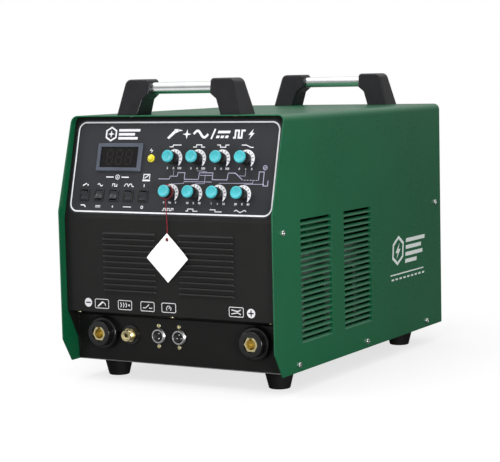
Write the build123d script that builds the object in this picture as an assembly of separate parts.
"""TIG welding machine: a portable AC/DC inverter set in a folded sheet-metal case.

The case is 330 mm wide and 520 mm deep and stands on four rubber feet, with two carrying handles on top.
X runs to the right as seen from the front, the front faces -Y, and Z is up from the ground.
Most sizes below are a depth behind the cover's front edge and a height above the cover's lower edge.
"""
import math
import os

from build123d import *

# ---- case ----------------------------------------------------------------------------------------
WIDTH = 330.0
DEPTH = 520.0
COVER_HEIGHT = 332.0
FOOT_HEIGHT = 26.0
REAR_OVERHANG = 18.0          # how far the cable gland stands out behind the cover
SHEET = 1.5
BEND_RADIUS = 9.0
SLIP = 0.2                    # assembly gap between the cover and what slides into it
UPPER_KNEE = (0.0, 205.5)     # the cover's front edge, as (depth, height)
TOP_FRONT = (37.5, COVER_HEIGHT)
LOWER_KNEE = (0.0, 31.8)
BOTTOM_FRONT = (19.4, 0.0)
FRONT = -(DEPTH + REAR_OVERHANG) / 2
INNER_HALF = WIDTH / 2 - SHEET - SLIP

# ---- side louvres --------------------------------------------------------------------------------
SIDE_LOUVRE_BANKS = ((73.0, 159.0), (195.5, 279.0))
SIDE_LOUVRE_COUNT = 21
SIDE_LOUVRE_PITCH = 7.68
SIDE_LOUVRE_BOTTOM = 35.0
SIDE_LOUVRE_RISE = 4.1
SIDE_LOUVRE_INSET = 3.3

# ---- front panels --------------------------------------------------------------------------------
PANEL_SHEET = 1.6
PANEL_KNEE = (12.0, 196.0)
PANEL_TILT = 14.5
PANEL_LENGTH = 137.8
PANEL_BOTTOM = 70.0
PANEL_FLANGE = 26.0
PANEL_LIP = 4.0
OVERLAY = 0.6
OVERLAY_SIZE = (317.0, 128.0)
OVERLAY_ALONG = 70.0
FRONT_LOUVRE_ROWS = 11
FRONT_LOUVRE_PITCH = 7.6
FRONT_LOUVRE_LOW = 99.3
FRONT_LOUVRE_INNER = 16.8
FRONT_LOUVRE_LENGTH = 85.5
HOOD_RADIUS = 3.4
HOOD_WALL = 1.2
SOCKET_PLATE = 35.5
SHELF_FRONT = (13.9, 71.0)
SHELF_BACK = (SOCKET_PLATE, 62.0)

# ---- controls, as x and distance up the tilted panel from its knee -------------------------------
DIAL_X = [2.0 + 36.3 * column for column in range(4)]
DIAL_ROWS = (82.2, 36.2)
KNOB_NAMES = (
    ("start_current_knob", "peak_current_knob", "base_current_knob", "down_slope_knob"),
    ("pulse_frequency_knob", "pulse_width_knob", "post_gas_knob", "ac_balance_knob"),
)
KNOB_HEIGHT = 19.2
KNOB_RADIUS = 8.2
KNOB_FOOT_RADIUS = 7.2
KNOB_FOOT_HEIGHT = 3.0
KNOB_GAP = 1.3                # from the fascia's face to the knob's foot
KNOB_CAP_START = 15.5
FLUTE_COUNT = 18
POT_SHAFT_RADIUS = 3.0
POT_SHAFT_REACH = 12.5        # how far the shaft stands out of the fascia's face
POT_DEPTH = 9.0
SHAFT_CLEARANCE = 0.05
ROCKER_NAMES = ("process_rocker", "output_rocker", "trigger_rocker", "pulse_rocker", "remote_rocker")
ROCKER_X = [-134.1 + 23.5 * column for column in range(5)]
ROCKER_ALONG = 31.8
ROCKER_TILT = 10.0
ROCKER_TOP_PRESSED = (False, True, True, False, False)
ROCKER_PIVOT_LIFT = -0.9
METER_X = -83.9
METER_ALONG = 83.0
METER_BEZEL = (71.8, 38.2)
METER_WINDOW = (60.3, 28.0)
LED_X = -33.6
LED_ALONG = 82.1

# ---- sockets on the lower panel ------------------------------------------------------------------
WELD_SOCKET_X = 118.3
WELD_SOCKET_HEIGHT = 39.0
WELD_BORE_RADIUS = 6.75
GAS_OUTLET_X = -76.5
GAS_OUTLET_HEIGHT = 38.0
GAS_OUTLET_RADIUS = 7.75
REMOTE_SOCKET_X = (-31.3, 0.7)
REMOTE_SOCKET_HEIGHT = 39.0
REMOTE_SCREW_OFFSET = 13.8

# ---- handles, feet, rear -------------------------------------------------------------------------
HANDLE_DEPTHS = {"front": 64.5, "rear": 496.5}
HANDLE_TUBE_RADIUS = 7.75
HANDLE_TUBE_HEIGHT = 35.3
HANDLE_TUBE_HALF = 62.0
BRACKET_BASE_DEPTH = 37.0
BRACKET_TOP_DEPTH = 25.0
BRACKET_HEIGHT = 47.4
FOOT_X = 127.0
FOOT_DEPTHS = (78.0, 448.0)
FOOT_BASE_RADIUS = 14.0
FOOT_TOP_RADIUS = 20.5
REAR_PANEL = 508.0
FAN_X = -38.0
FAN_HEIGHT = 205.0
FAN_SIZE = 150.0
FAN_THICKNESS = 50.0
FAN_BORE = 71.0
BREAKER_X = 105.0
BREAKER_HEIGHT = 225.0
BREAKER_PIVOT = 510.5
LEVER_REST = -35.0
GLAND_X = 105.0
GLAND_HEIGHT = 62.0
GLAND_BORE = 7.0
GAS_INLET_X = -112.0
GAS_INLET_HEIGHT = 62.0
EARTH_X = -40.0
EARTH_HEIGHT = 40.0
BRIDGE_HEIGHT = 150.0

# ---- hang tag ------------------------------------------------------------------------------------
TAG_SIDE = 45.8
TAG_THICKNESS = 0.5
TAG_BACK = 8.1
TAG_CENTRE_HEIGHT = 147.7
TAG_CARD_X = 3.0
STRING_RADIUS = 0.6
LOOP_RADIUS = 9.4
LOOP_LIFT = 10.4

SIDE_SCREWS = ((25.6, 183.1), (498.9, 184.6), (63.4, 9.0), (262.0, 9.0), (464.6, 9.0))
SHELF_SCREW_X = (-149.0, 0.0, 149.0)

TILT_SIN = math.sin(math.radians(PANEL_TILT))
TILT_COS = math.cos(math.radians(PANEL_TILT))


# ---- placing helpers -----------------------------------------------------------------------------
def at(x, depth, height):
    """A place in the case: x, depth behind the cover's front edge, height above its lower edge."""
    return (x, FRONT + depth, FOOT_HEIGHT + height)


def facing_front(x, depth, height):
    """A frame on a front face: local X right, local Y up, local Z towards the viewer."""
    return Plane(origin=at(x, depth, height), x_dir=(1, 0, 0), z_dir=(0, -1, 0))


def facing_rear(x, depth, height):
    """A frame on the rear face: local Y up, local Z out of the back."""
    return Plane(origin=at(x, depth, height), x_dir=(-1, 0, 0), z_dir=(0, 1, 0))


def facing_up(x, depth, height):
    """A frame on a level face: local Z up."""
    return Plane(origin=at(x, depth, height), x_dir=(1, 0, 0), z_dir=(0, 0, 1))


def facing_side(side, depth, height, half=WIDTH / 2):
    """A frame on a side wall: local Z out of that side, local Y up."""
    return Plane(origin=at(side * half, depth, height), x_dir=(0, side, 0), z_dir=(side, 0, 0))


def on_panel(x, along, lift=0.0):
    """A frame on the tilted control panel: local Y up the panel, local Z out of it."""
    depth = PANEL_KNEE[0] + along * TILT_SIN - lift * TILT_COS
    height = PANEL_KNEE[1] + along * TILT_COS + lift * TILT_SIN
    return Plane(origin=at(x, depth, height), x_dir=(1, 0, 0), z_dir=(0, -TILT_COS, TILT_SIN))


def box_between(low, high):
    """A box given by two opposite corners, each as x, depth and height."""
    size = [high[k] - low[k] for k in range(3)]
    centre = [(high[k] + low[k]) / 2 for k in range(3)]
    return Pos(*at(*centre)) * Box(*size)


def side_slab(points, half, centre=0.0):
    """A slab across the case: an outline in depth and height, pulled out by half each way from centre."""
    outline = Polygon(*[at(0, depth, height)[1:] for depth, height in points], align=None)
    return Pos(centre, 0, 0) * extrude(Plane.YZ * outline, amount=half, both=True)


def thicken(points, thickness):
    """The outline of a bent sheet: a path, and the same path moved to its right by the thickness."""
    offset = []
    last = len(points) - 1
    for k, (u, v) in enumerate(points):
        normals = []
        for a, b in ((k - 1, k), (k, k + 1)):
            if a >= 0 and b <= last:
                run = (points[b][0] - points[a][0], points[b][1] - points[a][1])
                length = math.hypot(*run)
                normals.append((run[1] / length, -run[0] / length))
        first, second = normals[0], normals[-1]
        scale = thickness / (1 + first[0] * second[0] + first[1] * second[1])
        offset.append((u + (first[0] + second[0]) * scale, v + (first[1] + second[1]) * scale))
    return list(points) + offset[::-1]


def group(*shapes):
    """One node made of several separate solids."""
    return Compound([solid for shape in shapes for solid in shape.solids()])


def upright(radius, height):
    """A cylinder standing on its frame's origin."""
    return Cylinder(radius, height, align=(Align.CENTER, Align.CENTER, Align.MIN))


def hanging(radius, height):
    """A cylinder reaching down from its frame's origin."""
    return Cylinder(radius, height, align=(Align.CENTER, Align.CENTER, Align.MAX))


def ring(outer, inner, height):
    """A tube standing on its frame's origin."""
    return upright(outer, height) - upright(inner, height)


def hexagon(across_corners, height):
    """A hexagonal prism standing on its frame's origin."""
    return extrude(RegularPolygon(across_corners / 2, 6), amount=height)


def pan_screw(radius, length):
    """A cross-recess pan-head screw: the head stands above its frame's origin and the shank hangs below."""
    head_height = 1.15 * radius
    head = upright(1.95 * radius, head_height)
    head = fillet(head.edges().group_by(Axis.Z)[-1], 0.55 * radius)
    slot = Pos(0, 0, head_height) * Box(2.3 * radius, 0.45 * radius, 1.1 * radius)
    return head - slot - Rot(0, 0, 90) * slot + hanging(radius, length)


# ---- case ----------------------------------------------------------------------------------------
def handle_screw_places():
    """Where the handle brackets are screwed on, as x and depth: two screws a bracket."""
    return [(x, depth + offset) for depth in HANDLE_DEPTHS.values()
            for x in (-81, 81) for offset in (-4.6, 4.6)]


def louvre_blades(bank):
    """The inward-pressed blades of one right-hand bank, with the cheeks that close their ends."""
    face = WIDTH / 2
    start, end = bank
    inner = face - SIDE_LOUVRE_INSET
    blade = Polygon(
        (face, 0),
        (face, 0.8),
        (inner, SIDE_LOUVRE_RISE),
        (inner - 0.9, SIDE_LOUVRE_RISE),
        (face - 1.0, 0),
        align=None,
    )
    middle = facing_front(0, (start + end) / 2, SIDE_LOUVRE_BOTTOM)
    first = middle * extrude(blade, amount=(end - start) / 2 + 1, both=True)
    blades = [Pos(0, 0, row * SIDE_LOUVRE_PITCH) * first for row in range(SIDE_LOUVRE_COUNT)]
    top = SIDE_LOUVRE_BOTTOM + SIDE_LOUVRE_COUNT * SIDE_LOUVRE_PITCH
    for depth in (start - 1, end):
        blades.append(box_between((inner - 0.9, depth, SIDE_LOUVRE_BOTTOM), (face - 0.4, depth + 1, top)))
    return blades


def inside_cover():
    """The room inside the cover: what slides in keeps to it, rounded top corners included."""
    room = box_between((-INNER_HALF, 0, -40), (INNER_HALF, DEPTH, COVER_HEIGHT - SHEET - SLIP))
    return fillet(room.edges().filter_by(Axis.Y).group_by(Axis.Z)[-1], BEND_RADIUS - SHEET)


def make_cover():
    """The green wrap-around cover: top and two sides in one folded sheet, louvred on both sides."""
    outer = box_between((-WIDTH / 2, 0, -40), (WIDTH / 2, DEPTH, COVER_HEIGHT))
    outer = fillet(outer.edges().filter_by(Axis.Y).group_by(Axis.Z)[-1], BEND_RADIUS)
    half = WIDTH / 2 - SHEET
    inner = box_between((-half, -1, -50), (half, DEPTH + 1, COVER_HEIGHT - SHEET))
    inner = fillet(inner.edges().filter_by(Axis.Y).group_by(Axis.Z)[-1], BEND_RADIUS - SHEET)
    outline = [BOTTOM_FRONT, LOWER_KNEE, UPPER_KNEE, TOP_FRONT, (DEPTH, COVER_HEIGHT), (DEPTH, 0)]
    cover = (outer - inner) & side_slab(outline, WIDTH)
    cuts = []
    blades = []
    top = SIDE_LOUVRE_BOTTOM + SIDE_LOUVRE_COUNT * SIDE_LOUVRE_PITCH
    for bank in SIDE_LOUVRE_BANKS:
        right = louvre_blades(bank)
        blades += right + [mirror(blade, about=Plane.YZ) for blade in right]
    for side in (-1, 1):
        for bank in SIDE_LOUVRE_BANKS:
            wall = sorted((side * WIDTH, side * (WIDTH / 2 - 2 * SHEET)))
            cuts.append(box_between((wall[0], bank[0], SIDE_LOUVRE_BOTTOM), (wall[1], bank[1], top)))
        for depth, height in SIDE_SCREWS:
            cuts.append(facing_side(side, depth, height) * Cylinder(2.1, 4 * SHEET))
    cuts += [facing_up(x, depth, COVER_HEIGHT) * Cylinder(2.1, 4 * SHEET)
             for x, depth in handle_screw_places()]
    return cover - cuts + blades


def make_base_pan():
    """The floor tray that everything stands in, with a flange up each side for the cover's screws."""
    floor = box_between((-INNER_HALF, 37.5, 0), (INNER_HALF, 506, SHEET))
    flanges = []
    cuts = []
    for side in (-1, 1):
        wall = sorted((side * INNER_HALF, side * (INNER_HALF - SHEET)))
        flanges.append(box_between((wall[0], 38.5, 0), (wall[1], 500, 20)))
        for depth, height in SIDE_SCREWS[2:]:
            cuts.append(facing_side(side, depth, height, INNER_HALF) * Cylinder(2.05, 4 * SHEET))
        for depth in FOOT_DEPTHS:
            cuts.append(facing_up(side * FOOT_X, depth, 0) * Cylinder(2.6, 4 * SHEET))
    for row in range(9):
        cuts.append(facing_up(0, 175 + 22 * row, 0) * extrude(SlotOverall(90, 7), amount=SHEET, both=True))
    return floor + flanges - cuts


def louvre_hood():
    """One outward hood of the front grille: a quarter-round bulge, open below, with rounded ends."""
    reach = HOOD_RADIUS
    wall = HOOD_WALL
    quarter = (Circle(reach) - Circle(reach - wall)) & Pos(-reach / 2, reach / 2) * Rectangle(reach, reach)
    section = Plane(origin=(0, 0, 0), x_dir=(0, 1, 0), z_dir=(1, 0, 0)) * quarter
    straight = FRONT_LOUVRE_LENGTH - 2 * reach
    body = Pos(-straight / 2, 0, 0) * extrude(section, amount=straight)
    end = revolve(section, axis=Axis.Z, revolution_arc=90)
    right = Pos(straight / 2, 0, 0) * end
    left = Pos(-straight / 2, 0, 0) * Rot(0, 0, -90) * end
    return body + right + left


def front_grille_rows():
    """The centre of each slot of the two front grille banks, as x and height."""
    reach = FRONT_LOUVRE_INNER + FRONT_LOUVRE_LENGTH / 2
    rows = [FRONT_LOUVRE_LOW + FRONT_LOUVRE_PITCH * row for row in range(FRONT_LOUVRE_ROWS)]
    return [(side * reach, height) for side in (-1, 1) for height in rows]


def make_fascia():
    """The black upper front panel: tilted control face, upright louvred face, and flanges behind."""
    top = (PANEL_KNEE[0] + PANEL_LENGTH * TILT_SIN, PANEL_KNEE[1] + PANEL_LENGTH * TILT_COS)
    path = [(PANEL_KNEE[0], PANEL_BOTTOM), PANEL_KNEE, top, (top[0] + PANEL_LIP, top[1])]
    fascia = side_slab(thicken(path, PANEL_SHEET), INNER_HALF)
    back = [(depth + PANEL_FLANGE, height) for depth, height in path[2::-1]]
    for side in (-1, 1):
        fascia += side_slab(path[:3] + back, PANEL_SHEET / 2, side * (INNER_HALF - PANEL_SHEET / 2))
    cuts = [on_panel(x, ROCKER_ALONG) * Box(12.7, 14.2, 8) for x in ROCKER_X]
    cuts += [on_panel(x, along) * Cylinder(3.7, 8) for x in DIAL_X for along in DIAL_ROWS]
    cuts.append(on_panel(METER_X, METER_ALONG) * Box(64.0, 31.5, 8))
    cuts.append(on_panel(LED_X, LED_ALONG) * Cylinder(4.0, 8))
    for x, height in front_grille_rows():
        cuts.append(facing_front(x, PANEL_KNEE[0], height + 0.9) * Box(FRONT_LOUVRE_LENGTH - 5, 2.2, 8))
    for side in (-1, 1):
        depth, height = SIDE_SCREWS[0]
        cuts.append(facing_side(side, depth, height, INNER_HALF) * Cylinder(2.05, 8))
    hood = louvre_hood()
    hoods = [Pos(*at(x, PANEL_KNEE[0] + 0.3, height)) * hood for x, height in front_grille_rows()]
    return (fascia & inside_cover()) - cuts + hoods


def make_lower_panel():
    """The set-back panel that carries the sockets: a sloping shelf, an upright plate, and end cheeks."""
    path = [(SHELF_FRONT[0], SHELF_FRONT[1] + 9), SHELF_FRONT, SHELF_BACK, (SOCKET_PLATE, 1.5)]
    panel = side_slab(thicken(path[::-1], SHEET), INNER_HALF - PANEL_SHEET - SLIP)
    cheek = [(12.4, 69.6), (17.0, 62.0), (33.5, 31.0), (SOCKET_PLATE, 12.0), (SOCKET_PLATE, 1.5),
             (SOCKET_PLATE + SHEET, 1.5), (SOCKET_PLATE + SHEET, 69.6)]
    half = (PANEL_SHEET + 2 * SLIP) / 2
    for side in (-1, 1):
        panel += side_slab(cheek, half, side * (INNER_HALF - half))
    cuts = [facing_front(side * WELD_SOCKET_X, SOCKET_PLATE, WELD_SOCKET_HEIGHT) * Cylinder(11.2, 8)
            for side in (-1, 1)]
    cuts.append(facing_front(GAS_OUTLET_X, SOCKET_PLATE, GAS_OUTLET_HEIGHT) * Cylinder(6.1, 8))
    for x in REMOTE_SOCKET_X:
        cuts.append(facing_front(x, SOCKET_PLATE, REMOTE_SOCKET_HEIGHT) * Cylinder(9.95, 8))
        for offset in (-REMOTE_SCREW_OFFSET, REMOTE_SCREW_OFFSET):
            height = REMOTE_SOCKET_HEIGHT + offset
            cuts.append(facing_front(x, SOCKET_PLATE, height) * Cylinder(1.55, 8))
    cuts += [shelf_frame(x) * Cylinder(1.55, 8) for x in SHELF_SCREW_X]
    return panel - cuts


def shelf_frame(x):
    """A frame on the middle of the sloping shelf, local Z out of it."""
    run = (SHELF_BACK[0] - SHELF_FRONT[0], SHELF_BACK[1] - SHELF_FRONT[1])
    length = math.hypot(*run)
    share = 0.30
    depth = SHELF_FRONT[0] + share * run[0]
    height = SHELF_FRONT[1] + share * run[1]
    return Plane(origin=at(x, depth, height), x_dir=(1, 0, 0), z_dir=(0, run[1] / length, -run[0] / length))


def make_rear_panel():
    """The back panel, with its fan opening, breaker window and fitting holes."""
    plate = box_between((-INNER_HALF, REAR_PANEL - SHEET, 1.8), (INNER_HALF, REAR_PANEL, 329.5))
    flanges = []
    cuts = []
    for side in (-1, 1):
        wall = sorted((side * INNER_HALF, side * (INNER_HALF - SHEET)))
        flanges.append(box_between((wall[0], REAR_PANEL - 22, 22), (wall[1], REAR_PANEL, 320)))
        depth, height = SIDE_SCREWS[1]
        cuts.append(facing_side(side, depth, height, INNER_HALF) * Cylinder(2.05, 8))
    fan = facing_rear(FAN_X, REAR_PANEL, FAN_HEIGHT)
    cuts.append(fan * Cylinder(FAN_BORE, 8))
    for u in (-65, 65):
        for v in (-65, 65):
            cuts.append(fan * Pos(u, v, 0) * Cylinder(2.05, 8))
    cuts.append(facing_rear(BREAKER_X, REAR_PANEL, BREAKER_HEIGHT) * Box(54.6, 45.6, 8))
    cuts.append(facing_rear(GLAND_X, REAR_PANEL, GLAND_HEIGHT) * Cylinder(12.1, 8))
    cuts.append(facing_rear(GAS_INLET_X, REAR_PANEL, GAS_INLET_HEIGHT) * Cylinder(6.1, 8))
    cuts.append(facing_rear(EARTH_X, REAR_PANEL, EARTH_HEIGHT) * Cylinder(4.05, 8))
    for column in range(6):
        for row in range(3):
            slot = Pos(22 * column - 40, 10 * row - 128, 0) * extrude(SlotOverall(18, 4), amount=4, both=True)
            cuts.append(fan * slot)
    return (plate + flanges - cuts) & inside_cover()


def make_feet():
    """Four tapered rubber feet, bored for their screws from below."""
    foot = Cone(FOOT_BASE_RADIUS, FOOT_TOP_RADIUS, FOOT_HEIGHT, align=(Align.CENTER, Align.CENTER, Align.MIN))
    foot = fillet(foot.edges().group_by(Axis.Z)[0], 1.5)
    foot = foot - upright(2.6, FOOT_HEIGHT) - upright(5.5, 14)
    places = [(x, depth) for x in (-FOOT_X, FOOT_X) for depth in FOOT_DEPTHS]
    return group(*[Pos(x, FRONT + depth, 0) * foot for x, depth in places])


def make_case_screws():
    """The cover's side screws, the feet's bolts and nuts, the fan's screws, and the handles' screws."""
    screws = [facing_side(side, depth, height) * pan_screw(2.0, 8)
              for side in (-1, 1) for depth, height in SIDE_SCREWS]
    bolt = Pos(0, 0, 14) * Rot(180, 0, 0) * pan_screw(2.5, 18)
    nut = Pos(0, 0, FOOT_HEIGHT + SHEET) * (hexagon(9.2, 4) - upright(2.5, 4))
    for x in (-FOOT_X, FOOT_X):
        for depth in FOOT_DEPTHS:
            screws += [Pos(x, FRONT + depth, 0) * bolt, Pos(x, FRONT + depth, 0) * nut]
    fan = facing_rear(FAN_X, REAR_PANEL, FAN_HEIGHT)
    screws += [fan * Pos(u, v, 2.4) * pan_screw(2.0, 14) for u in (-65, 65) for v in (-65, 65)]
    handle_screw = Rot(180, 0, 0) * pan_screw(2.0, 15)
    for x, depth in handle_screw_places():
        screws.append(facing_up(x, depth, COVER_HEIGHT - SHEET) * handle_screw)
    return group(*screws)


def make_panel_screws():
    """The small screws of the front: the shelf's three, and two for each control socket."""
    screws = [shelf_frame(x) * pan_screw(1.5, 7) for x in SHELF_SCREW_X]
    for x in REMOTE_SOCKET_X:
        for offset in (-REMOTE_SCREW_OFFSET, REMOTE_SCREW_OFFSET):
            height = REMOTE_SOCKET_HEIGHT + offset
            screws.append(facing_front(x, SOCKET_PLATE, height) * pan_screw(1.5, 7))
    return group(*screws)


# ---- handles -------------------------------------------------------------------------------------
def bracket_side_outline():
    """A bracket seen from the front, right-hand one: x from the middle, height above the cover."""
    points = [(64.5, 0), (97.1, 0), (84.0, BRACKET_HEIGHT), (47.5, BRACKET_HEIGHT),
              (47.5, 27.5), (57.0, 20.5)]
    outline = Polygon(*points, align=None)
    for point, radius in ((points[2], 9.0), (points[3], 5.0), (points[4], 3.0), (points[5], 5.0)):
        corner = min(outline.vertices(), key=lambda v: math.hypot(v.X - point[0], v.Y - point[1]))
        outline = fillet(corner, radius)
    return outline


def make_bracket(end, side):
    """A moulded handle bracket: wide at the foot, narrower at the top, bored for the tube."""
    depth = HANDLE_DEPTHS[end]
    outline = bracket_side_outline()
    block = extrude(facing_front(0, depth, COVER_HEIGHT) * outline, amount=BRACKET_BASE_DEPTH / 2, both=True)
    foot = BRACKET_BASE_DEPTH / 2
    head = BRACKET_TOP_DEPTH / 2
    base = COVER_HEIGHT
    crown = COVER_HEIGHT + BRACKET_HEIGHT
    taper = [(depth - foot, base), (depth - head, crown), (depth + head, crown), (depth + foot, base)]
    block = block & side_slab(taper, WIDTH)
    edges = [edge for edge in block.edges() if edge.center().Z > FOOT_HEIGHT + base + 1
             and abs(edge.center().Y - FRONT - depth) > head - 1]
    block = fillet(edges, 2.4)
    reach = HANDLE_TUBE_HALF - 40
    bore = Pos(*at(40, depth, COVER_HEIGHT + HANDLE_TUBE_HEIGHT)) * Rot(0, 90, 0) * upright(
        HANDLE_TUBE_RADIUS + 0.05, reach + 0.05)
    block = block - bore
    for offset in (-4.6, 4.6):
        block -= facing_up(81, depth + offset, COVER_HEIGHT) * upright(2.0, 14)
    if side < 0:
        block = mirror(block, about=Plane.YZ)
    return block


def make_tube(end):
    """A polished carrying tube between two brackets."""
    tube = Cylinder(HANDLE_TUBE_RADIUS, 2 * HANDLE_TUBE_HALF) - Cylinder(HANDLE_TUBE_RADIUS - 1.5, 130)
    return Pos(*at(0, HANDLE_DEPTHS[end], COVER_HEIGHT + HANDLE_TUBE_HEIGHT)) * Rot(0, 90, 0) * tube


# ---- control panel -------------------------------------------------------------------------------
def make_control_overlay():
    """The thin printed sheet on the tilted face, pierced for the controls."""
    sheet = on_panel(0, OVERLAY_ALONG) * extrude(RectangleRounded(*OVERLAY_SIZE, 13), amount=OVERLAY)
    cuts = [on_panel(x, ROCKER_ALONG) * Box(12.7, 14.2, 8) for x in ROCKER_X]
    cuts += [on_panel(x, along) * Cylinder(3.7, 8) for x in DIAL_X for along in DIAL_ROWS]
    cuts.append(on_panel(METER_X, METER_ALONG) * Box(64.0, 31.5, 8))
    cuts.append(on_panel(LED_X, LED_ALONG) * Cylinder(4.0, 8))
    return sheet - cuts


def make_meter_bezel():
    """The raised frame round the current meter."""
    width, height = METER_BEZEL
    frame = extrude(RectangleRounded(width, height, 2.0), amount=3.0)
    frame = chamfer(frame.edges().group_by(Axis.Z)[-1], 1.2)
    frame += Pos(0, 0, -6) * extrude(Rectangle(63.6, 31.1), amount=6)
    frame -= Pos(0, 0, -7) * extrude(Rectangle(*METER_WINDOW), amount=12)
    return on_panel(METER_X, METER_ALONG, OVERLAY) * frame


def make_meter_window():
    """The smoked window that lies in the bezel."""
    width, height = METER_WINDOW
    pane = extrude(Rectangle(width - 0.1, height - 0.1), amount=1.5)
    return on_panel(METER_X, METER_ALONG, OVERLAY - 0.2) * pane


def make_meter_module():
    """The display block with its circuit board, held behind the window."""
    block = on_panel(METER_X, METER_ALONG, -8.0) * extrude(Rectangle(50, 20), amount=8.0)
    board = on_panel(METER_X, METER_ALONG, -9.6) * extrude(Rectangle(59, 27), amount=1.6)
    legs = [on_panel(METER_X + u, METER_ALONG + v, -12.5) * upright(1.5, 3.0)
            for u in (-26, 26) for v in (-10, 10)]
    return block + board + legs


def make_fault_led():
    """The yellow warning lamp in its round holder."""
    holder = hanging(3.9, 8) + upright(5.2, 1.2)
    dome = upright(3.6, 2.6) + Pos(0, 0, 2.6) * Sphere(3.6)
    return on_panel(LED_X, LED_ALONG, OVERLAY) * (holder + dome)


def make_knob(x, along):
    """A control knob and the potentiometer shaft that it turns: fluted body, tapered foot, coloured cap."""
    shoulder = KNOB_GAP + KNOB_FOOT_HEIGHT
    low = (Align.CENTER, Align.CENTER, Align.MIN)
    body = Pos(0, 0, KNOB_GAP) * Cone(KNOB_FOOT_RADIUS, KNOB_RADIUS, KNOB_FOOT_HEIGHT, align=low)
    body += Pos(0, 0, shoulder) * upright(KNOB_RADIUS, KNOB_CAP_START - shoulder)
    flute = Pos(KNOB_RADIUS + 0.15, 0, shoulder) * upright(0.5, KNOB_CAP_START)
    for k in range(FLUTE_COUNT):
        body -= Rot(0, 0, (k + 0.5) * 360 / FLUTE_COUNT) * flute
    body -= upright(POT_SHAFT_RADIUS, POT_SHAFT_REACH)
    disc = Pos(0, 0, KNOB_CAP_START) * upright(KNOB_RADIUS - 0.15, KNOB_HEIGHT - KNOB_CAP_START)
    disc = fillet(disc.edges().group_by(Axis.Z)[-1], 0.9)
    shaft = Pos(0, 0, -POT_DEPTH) * upright(POT_SHAFT_RADIUS, POT_DEPTH + POT_SHAFT_REACH)
    return group(*[on_panel(x, along) * piece for piece in (body, disc, shaft)])


def make_potentiometers():
    """The eight potentiometers behind the panel, each with a threaded bushing and nut."""
    can = Pos(0, 0, -PANEL_SHEET - 0.1) * hanging(8.0, 9.5)
    bushing = Pos(0, 0, -PANEL_SHEET - 0.1) * upright(3.5, PANEL_SHEET + 1.1)
    bore = Pos(0, 0, -9.5) * upright(POT_SHAFT_RADIUS + SHAFT_CLEARANCE, 14)
    pot = can + bushing - bore
    return group(*[on_panel(x, along) * pot for x in DIAL_X for along in DIAL_ROWS])


def make_rocker_housings():
    """The five rocker switch bodies, each with a frame round its rocker."""
    frame = Pos(0, 0, OVERLAY) * extrude(RectangleRounded(15.2, 16.4, 1.0), amount=1.3)
    frame = chamfer(frame.edges().group_by(Axis.Z)[-1], 0.4)
    body = Pos(0, 0, -14) * extrude(Rectangle(12.4, 14.0), amount=14 + OVERLAY)
    terminals = [Pos(0, v, -20) * Box(4.8, 0.8, 12) for v in (-4.5, 0, 4.5)]
    cavity = Pos(0, 0, 1) * Box(11.0, 13.2, 16)
    pivot = Pos(0, 0, ROCKER_PIVOT_LIFT) * Rot(0, 90, 0) * Cylinder(0.95, 11.9)
    housing = frame + body + terminals - cavity - pivot
    return group(*[on_panel(x, ROCKER_ALONG) * housing for x in ROCKER_X])


def make_rocker(x, top_pressed):
    """A rocker with a shallow vee face, on two pivot stubs, tipped to one side."""
    face = [(-5.6, 3.0), (-5.3, 3.5), (0, 2.2), (5.3, 3.5), (5.6, 3.0), (5.2, 0), (-5.2, 0)]
    outline = Polygon(*face, align=None) + Circle(5.1)
    paddle = extrude(Plane.YZ * outline, amount=5.15, both=True)
    stubs = Rot(0, 90, 0) * Cylinder(0.9, 11.7)
    tip = -ROCKER_TILT if top_pressed else ROCKER_TILT
    return on_panel(x, ROCKER_ALONG, ROCKER_PIVOT_LIFT) * Rot(tip, 0, 0) * (paddle + stubs)


def make_control_board():
    """The control circuit board, parallel to the tilted panel, soldered to the potentiometers."""
    board = on_panel(0, 60, -13.3) * Box(300, 118, 1.6)
    relief = [on_panel(x, ROCKER_ALONG, -13.3) * Box(14, 16, 4) for x in ROCKER_X]
    relief.append(on_panel(LED_X, LED_ALONG, -13.3) * Cylinder(2, 4))
    chips = [on_panel(-110 + 44 * k, 112, -15.4) * Box(26, 9, 2.8) for k in range(6)]
    return board - relief + chips


# ---- sockets -------------------------------------------------------------------------------------
def make_socket_collars():
    """The black insulating collars of the two welding sockets, and the washer under the gas outlet."""
    collar = upright(22.5, 9.0)
    collar = fillet(collar.edges().group_by(Axis.Z)[-1], 2.5)
    nose = upright(17.5, 17.2)
    nose = fillet(nose.edges().group_by(Axis.Z)[-1], 1.6)
    collar = collar + nose + hanging(11.0, 10) + Pos(0, 0, -SHEET - 0.05) * hanging(17, 5)
    collar -= Pos(0, 0, -12) * upright(10.35, 40)
    ribs = [Rot(0, 0, 30 * k) * Pos(17.3, 0, 9) * Box(1.0, 2.0, 10) for k in range(12)]
    collar = collar - ribs
    washer = ring(14.0, GAS_OUTLET_RADIUS + 0.05, 2.0)
    washer = fillet(washer.edges().group_by(Axis.Z)[-1].sort_by(SortBy.RADIUS)[-1], 0.8)
    collars = [facing_front(side * WELD_SOCKET_X, SOCKET_PLATE, WELD_SOCKET_HEIGHT) * collar
               for side in (-1, 1)]
    return group(*collars, facing_front(GAS_OUTLET_X, SOCKET_PLATE, GAS_OUTLET_HEIGHT) * washer)


def make_weld_socket_inserts():
    """The brass inserts of the two welding sockets: a bored hexagon with a bayonet slot and a rear stud."""
    insert = Pos(0, 0, -16) * hexagon(20.6, 31.5)
    insert -= Pos(0, 0, -10) * upright(WELD_BORE_RADIUS, 40)
    insert -= Pos(0, WELD_BORE_RADIUS + 0.2, 10) * Box(4, 3, 14)
    insert = insert + Pos(0, 0, -16) * hanging(6, 16)
    insert += Pos(0, 0, -24) * (hexagon(20.6, 6) - upright(6, 6))
    return group(*[facing_front(side * WELD_SOCKET_X, SOCKET_PLATE, WELD_SOCKET_HEIGHT) * insert
                   for side in (-1, 1)])


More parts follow.
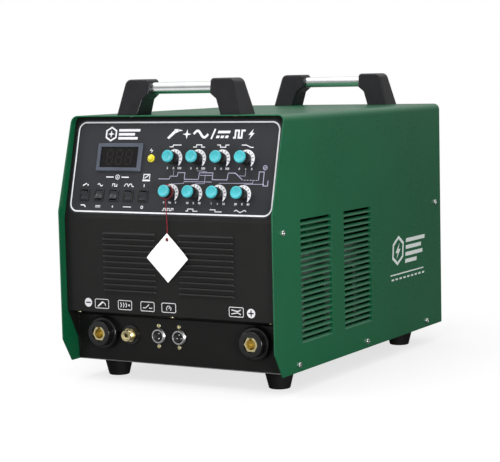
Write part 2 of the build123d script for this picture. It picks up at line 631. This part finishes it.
def make_gas_outlet():
    """The brass gas outlet: a bored spigot, a hexagon, and a hose tail behind the panel."""
    outlet = Pos(0, 0, 2.0) * hexagon(20.0, 3.4) + upright(GAS_OUTLET_RADIUS, 13.2)
    outlet = outlet + hanging(6.0, 12) + Pos(0, 0, -12) * hanging(4.0, 12)
    outlet -= Pos(0, 0, -25) * upright(2.6, 45)
    return facing_front(GAS_OUTLET_X, SOCKET_PLATE, GAS_OUTLET_HEIGHT) * outlet


def pin_circle(count):
    """Contact places of a control socket."""
    turn = 360 / count
    return [(3.4 * math.cos(math.radians(turn * k + 90)), 3.4 * math.sin(math.radians(turn * k + 90)))
            for k in range(count)]


def make_remote_socket_shells():
    """The two round aluminium control sockets, with their contact pins."""
    solids = []
    for x, count in zip(REMOTE_SOCKET_X, (2, 3)):
        shell = Pos(0, 0, -10) * ring(9.85, 7.6, 14.2)
        shell = chamfer(shell.edges().group_by(Axis.Z)[-1].sort_by(SortBy.RADIUS)[-1], 0.8)
        place = facing_front(x, SOCKET_PLATE, REMOTE_SOCKET_HEIGHT)
        solids.append(place * shell)
        solids += [place * Pos(u, v, -8) * upright(0.9, 10) for u, v in pin_circle(count)]
    return group(*solids)


def make_remote_socket_inserts():
    """The black insulators inside the two control sockets."""
    solids = []
    for x, count in zip(REMOTE_SOCKET_X, (2, 3)):
        insert = Pos(0, 0, -8) * upright(7.55, 8.8)
        insert -= [Pos(u, v, -9) * upright(0.95, 12) for u, v in pin_circle(count)]
        insert -= Pos(0, -7.4, -1) * Box(2.4, 1.6, 6)
        solids.append(facing_front(x, SOCKET_PLATE, REMOTE_SOCKET_HEIGHT) * insert)
    return group(*solids)


# ---- rear ----------------------------------------------------------------------------------------
def make_fan_frame():
    """The fan's square frame, with the struts and motor boss that carry the rotor's shaft."""
    frame = extrude(RectangleRounded(FAN_SIZE, FAN_SIZE, 8), amount=-FAN_THICKNESS)
    frame -= Pos(0, 0, 1) * hanging(FAN_BORE, FAN_THICKNESS + 2)
    back = -FAN_THICKNESS
    struts = [Rot(0, 0, 90 * k + 20) * Pos(48, 0, back + 2) * Box(52, 6, 4) for k in range(4)]
    boss = Pos(0, 0, back) * upright(28, 5)
    shaft = Pos(0, 0, back) * upright(3.0, 30)
    holes = [Pos(u, v, 1) * hanging(2.05, FAN_THICKNESS + 2) for u in (-65, 65) for v in (-65, 65)]
    return facing_rear(FAN_X, REAR_PANEL - SHEET, FAN_HEIGHT) * (frame + struts + boss + shaft - holes)


def make_fan_rotor():
    """The fan's hub and seven pitched blades, bored for the shaft."""
    low = -FAN_THICKNESS + 7
    hub = Pos(0, 0, low) * upright(30, 34)
    hub = fillet(hub.edges().group_by(Axis.Z)[-1], 4)
    blade = Pos(48.5, 0, low + 17) * Rot(32, 0, 0) * Box(40, 44, 2.2)
    rotor = hub
    for k in range(7):
        rotor += Rot(0, 0, 360 / 7 * k) * blade
    rotor = rotor & Pos(0, 0, low) * upright(FAN_BORE - 2, 36)
    rotor -= Pos(0, 0, low - 1) * upright(3.0 + SHAFT_CLEARANCE, 25)
    return facing_rear(FAN_X, REAR_PANEL - SHEET, FAN_HEIGHT) * rotor


def make_fan_guard():
    """The wire finger guard over the fan: rings on two crossed bars with four eyes."""
    rings = [Torus(16 + 13.5 * k, 1.1) for k in range(5)]
    eye = Pos(0, 0, -2.5) * ring(5.2, 2.1, 2.2)
    bars = []
    for angle in (45, 135, 225, 315):
        bar = Pos(8, 0, -1.4) * Rot(0, 90, 0) * upright(1.3, 80)
        bars.append(Rot(0, 0, angle) * bar)
        bars.append(Rot(0, 0, angle) * Pos(65 * math.sqrt(2), 0, 0) * eye)
    return facing_rear(FAN_X, REAR_PANEL + 2.7, FAN_HEIGHT) * (rings[0] + rings[1:] + bars)


def make_breaker():
    """The three-pole mains breaker: body behind the panel, stepped face through its window."""
    body = Pos(0, 0, -SHEET - 0.05) * extrude(Rectangle(54, 82), amount=-58)
    face = Pos(0, 0, -SHEET - 0.05) * extrude(Rectangle(54, 45), amount=SHEET + 8)
    body += chamfer(face.edges().group_by(Axis.Z)[-1], 0.8)
    pivot = Pos(0, 0, BREAKER_PIVOT - REAR_PANEL)
    body -= pivot * Rot(0, 90, 0) * Cylinder(8.5, 47)
    body -= pivot * Pos(0, 0, 5) * Box(47, 19, 10)
    body -= pivot * Rot(0, 90, 0) * Cylinder(1.55, 52)
    body -= [Pos(u, 0, 8) * Box(0.8, 46, 1.2) for u in (-9, 9)]
    return facing_rear(BREAKER_X, REAR_PANEL, BREAKER_HEIGHT) * body


def make_breaker_lever():
    """The breaker's toggle: a barrel on a pin, with three tied levers, resting down at off."""
    barrel = Rot(0, 90, 0) * Cylinder(8.0, 46) + Rot(0, 90, 0) * Cylinder(1.5, 51)
    levers = [Pos(u, 0, 10) * Box(13, 5.5, 16) for u in (-15.5, 0, 15.5)]
    tie = Pos(0, 0, 16.2) * Box(44, 4.0, 3.6)
    lever = barrel + levers + tie
    return facing_rear(BREAKER_X, BREAKER_PIVOT, BREAKER_HEIGHT) * Rot(-LEVER_REST, 0, 0) * lever


def make_cable_gland():
    """The mains cable gland: hexagon body and locknut, with a ribbed dome nut."""
    body = hexagon(33, 6) + hanging(12.0, 14) + Pos(0, 0, 6) * upright(11, 5)
    dome = Pos(0, 0, 7) * upright(15.5, REAR_OVERHANG + DEPTH - REAR_PANEL - 7)
    dome = fillet(dome.edges().group_by(Axis.Z)[-1], 3.5)
    dome -= [Rot(0, 0, 30 * k) * Pos(15.8, 0, 12) * Cylinder(1.3, 16) for k in range(12)]
    nut = Pos(0, 0, -SHEET - 5.1) * hexagon(33, 5)
    gland = body + dome + nut
    gland -= Pos(0, 0, -20) * upright(GLAND_BORE, 60)
    return facing_rear(GLAND_X, REAR_PANEL, GLAND_HEIGHT) * gland


def make_gas_inlet():
    """The brass gas inlet: a hexagon with a plain hose tail."""
    inlet = hexagon(19, 6) + upright(4.0, 26) + hanging(6.0, 10) + Pos(0, 0, -10) * hanging(3.8, 12)
    inlet -= Pos(0, 0, -23) * upright(2.5, 60)
    return facing_rear(GAS_INLET_X, REAR_PANEL, GAS_INLET_HEIGHT) * inlet


def make_earth_stud():
    """The earthing stud with its washer and two nuts."""
    shank = 3.7
    stud = hanging(shank, 12) + upright(shank, 8.1) + Pos(0, 0, 8.1) * upright(4.0, 11.9)
    nut = hexagon(15, 6.5) - upright(shank, 7)
    washer = ring(8.5, shank, 1.6)
    pieces = (stud, washer, Pos(0, 0, 1.6) * nut, Pos(0, 0, -SHEET - 6.6) * nut)
    return group(*[facing_rear(EARTH_X, REAR_PANEL, EARTH_HEIGHT) * piece for piece in pieces])


# ---- inside --------------------------------------------------------------------------------------
def make_bridge():
    """The inner shelf: a folded sheet on two legs that carries the circuit boards over the power parts."""
    half = 148.0
    deck = box_between((-half, 75, BRIDGE_HEIGHT), (half, 445, BRIDGE_HEIGHT + SHEET))
    legs = []
    for side in (-1, 1):
        wall = sorted((side * half, side * (half - SHEET)))
        legs.append(box_between((wall[0], 75, SHEET), (wall[1], 445, BRIDGE_HEIGHT)))
    window = [box_between((-160, 110 + 85 * k, 40), (160, 170 + 85 * k, 120)) for k in range(4)]
    return deck + legs - window


def make_heatsinks():
    """Two finned aluminium heatsinks along the air path."""
    solids = []
    for side in (-1, 1):
        low, high = sorted((side * 78, side * 84))
        sink = box_between((low, 150, SHEET), (high, 430, 110))
        for row in range(13):
            fin = sorted((side * 84, side * 128))
            height = 6 + 8 * row
            sink += box_between((fin[0], 150, height), (fin[1], 430, height + 2.4))
        solids.append(sink)
    return group(*solids)


def make_transformer():
    """The main transformer: a double-E ferrite core, and a copper winding round its middle limb."""
    core = box_between((-52, 300, SHEET), (52, 390, 105))
    for x in (-28, 28):
        core -= box_between((x - 13, 290, 25), (x + 13, 400, 82))
    coil = box_between((-40.5, 287, 25.5), (40.5, 403, 81.5))
    coil = fillet(coil.edges().filter_by(Axis.Z), 10)
    coil -= box_between((-15.2, 299.5, 20), (15.2, 390.5, 90))
    return group(core, coil)


def make_output_choke():
    """The output choke: a wound toroid standing on edge."""
    choke = Rot(0, 90, 0) * Torus(34, 15)
    return Pos(*at(0, 225, SHEET + 49)) * choke


def make_power_board():
    """The inverter board on the inner shelf, with its power modules."""
    deck = BRIDGE_HEIGHT + SHEET
    board = box_between((-140, 150, deck + 8), (140, 440, deck + 9.6))
    legs = [box_between((x - 4, d - 4, deck), (x + 4, d + 4, deck + 8))
            for x in (-130, 130) for d in (160, 430)]
    modules = [box_between((x - 30, 170, deck + 9.6), (x + 30, 230, deck + 30)) for x in (-90, 0, 90)]
    return board + legs + modules


def make_capacitors():
    """The row of bulk capacitors on the inverter board."""
    deck = BRIDGE_HEIGHT + SHEET + 9.6
    can = fillet(upright(17.0, 52).edges().group_by(Axis.Z)[-1], 2.0)
    return group(*[facing_up(x, 290, deck) * can for x in (-100, -60, -20, 20, 60, 100)])


def make_hf_unit():
    """The high-frequency arc starter: its potted box and spark gap on the inverter board."""
    deck = BRIDGE_HEIGHT + SHEET + 9.6
    box = box_between((-110, 345, deck), (-30, 415, deck + 45))
    gap = box_between((-10, 360, deck), (40, 400, deck + 22))
    gap += Pos(*at(15, 380, deck + 28)) * Rot(0, 90, 0) * Cylinder(7, 44)
    return group(box, gap)


def make_gas_valve():
    """The solenoid valve behind the gas outlet, standing on the floor tray."""
    valve = box_between((-94, 62, SHEET), (-59, 104, 52))
    valve += Pos(*at(-76.5, 83, 52)) * upright(16, 34)
    valve -= facing_front(GAS_OUTLET_X, 62, GAS_OUTLET_HEIGHT) * Cylinder(5, 6)
    return valve


def make_gas_hoses():
    """The two lengths of inner gas hose: inlet to valve, and valve to outlet."""
    outer, inner = 6.0, 4.0
    runs = [at(GAS_INLET_X, 495, GAS_INLET_HEIGHT), at(GAS_INLET_X, 478, GAS_INLET_HEIGHT),
            at(-138, 438, 50), at(-138, 130, 28), at(-124, 84, 28), at(-94, 84, 28)]
    path = FilletPolyline(*runs, radius=[16, 24, 24, 18])
    section = Plane(origin=path @ 0, z_dir=path % 0) * (Circle(outer) - Circle(inner))
    supply = sweep(section, path=path)
    tail = facing_front(GAS_OUTLET_X, 48, GAS_OUTLET_HEIGHT) * (hanging(outer, 14) - hanging(inner, 14))
    return group(supply, tail)


def make_busbars():
    """The copper bars from the two welding sockets back to the power parts."""
    bars = []
    for side in (-1, 1):
        low, high = sorted((side * (WELD_SOCKET_X - 8), side * (WELD_SOCKET_X + 8)))
        bar = box_between((low, 59.8, WELD_SOCKET_HEIGHT - 8), (high, 62.8, 125))
        bar += box_between((low, 59.8, 122), (high, 160, 125))
        bar -= facing_front(side * WELD_SOCKET_X, 61, WELD_SOCKET_HEIGHT) * Cylinder(6.05, 12)
        bars.append(bar)
    return group(*bars)


# ---- hang tag ------------------------------------------------------------------------------------
def make_hang_tag():
    """A square card hung by one corner, with an eyelet hole for its string."""
    hole = TAG_SIDE / math.sqrt(2) - 8.5
    card = extrude(Rot(0, 0, 45) * RectangleRounded(TAG_SIDE, TAG_SIDE, 0.8), amount=TAG_THICKNESS)
    card -= Pos(0, hole, 0) * Cylinder(2.4, 4)
    return facing_front(TAG_CARD_X, TAG_BACK, TAG_CENTRE_HEIGHT) * card


def string_route():
    """The tag string's free length: from the knob's neck down to the knot in the card's hole."""
    hole = TAG_CENTRE_HEIGHT + TAG_SIDE / math.sqrt(2) - 8.5
    neck = on_panel(DIAL_X[0], DIAL_ROWS[1] - LOOP_RADIUS, LOOP_LIFT).origin
    return [(neck.X, neck.Y, neck.Z), at(2.5, 8.9, 208), at(2.9, 9.15, 193), at(3.0, 9.2, 183),
            at(3.0, 9.6, 176.2), at(3.0, 7.9, hole)]


def make_tag_string():
    """The tag's string: a loop round the knob's neck, the free length, and the knot."""
    route = string_route()
    radii = []
    for before, here, after in zip(route, route[1:], route[2:]):
        first = Vector(*here) - Vector(*before)
        second = Vector(*after) - Vector(*here)
        turn = math.radians(first.get_angle(second))
        radii.append(0.45 * min(first.length, second.length) / math.tan(turn / 2))
    print("tag string radii:", [round(radius, 1) for radius in radii])
    path = FilletPolyline(*[Vector(*point) for point in route], radius=radii)
    print("tag string length:", round(path.length, 1))
    section = Plane(origin=path @ 0, z_dir=path % 0) * Circle(STRING_RADIUS)
    string = sweep(section, path=path)
    loop = on_panel(DIAL_X[0], DIAL_ROWS[1], LOOP_LIFT) * Torus(LOOP_RADIUS, STRING_RADIUS)
    knot = Pos(*route[-1]) * Sphere(1.5)
    return string + loop + knot


# ---- build ---------------------------------------------------------------------------------------
nodes = {
    "cover": make_cover(),
    "base_pan": make_base_pan(),
    "fascia": make_fascia(),
    "lower_panel": make_lower_panel(),
    "rear_panel": make_rear_panel(),
    "feet": make_feet(),
    "case_screws": make_case_screws(),
    "panel_screws": make_panel_screws(),
    "control_overlay": make_control_overlay(),
    "meter_bezel": make_meter_bezel(),
    "meter_window": make_meter_window(),
    "meter_module": make_meter_module(),
    "fault_led": make_fault_led(),
    "potentiometers": make_potentiometers(),
    "rocker_housings": make_rocker_housings(),
    "control_board": make_control_board(),
    "socket_collars": make_socket_collars(),
    "weld_socket_inserts": make_weld_socket_inserts(),
    "gas_outlet": make_gas_outlet(),
    "remote_socket_shells": make_remote_socket_shells(),
    "remote_socket_inserts": make_remote_socket_inserts(),
    "fan_frame": make_fan_frame(),
    "fan_rotor": make_fan_rotor(),
    "fan_guard": make_fan_guard(),
    "mains_breaker": make_breaker(),
    "breaker_lever": make_breaker_lever(),
    "cable_gland": make_cable_gland(),
    "gas_inlet": make_gas_inlet(),
    "earth_stud": make_earth_stud(),
    "inner_bridge": make_bridge(),
    "heatsinks": make_heatsinks(),
    "main_transformer": make_transformer(),
    "output_choke": make_output_choke(),
    "power_board": make_power_board(),
    "capacitors": make_capacitors(),
    "hf_unit": make_hf_unit(),
    "gas_valve": make_gas_valve(),
    "gas_hoses": make_gas_hoses(),
    "busbars": make_busbars(),
    "hang_tag": make_hang_tag(),
    "tag_string": make_tag_string(),
}
for end in HANDLE_DEPTHS:
    nodes[end + "_handle_left_bracket"] = make_bracket(end, -1)
    nodes[end + "_handle_right_bracket"] = make_bracket(end, 1)
    nodes[end + "_handle_tube"] = make_tube(end)
for row_names, row_along in zip(KNOB_NAMES, DIAL_ROWS):
    for knob_name, knob_x in zip(row_names, DIAL_X):
        nodes[knob_name] = make_knob(knob_x, row_along)
for rocker_name, rocker_x, pressed in zip(ROCKER_NAMES, ROCKER_X, ROCKER_TOP_PRESSED):
    nodes[rocker_name] = make_rocker(rocker_x, pressed)

os.makedirs("parts", exist_ok=True)
for node_name, shape in nodes.items():
    export_step(shape, f"parts/{node_name}.step")
print(len(nodes), "nodes")
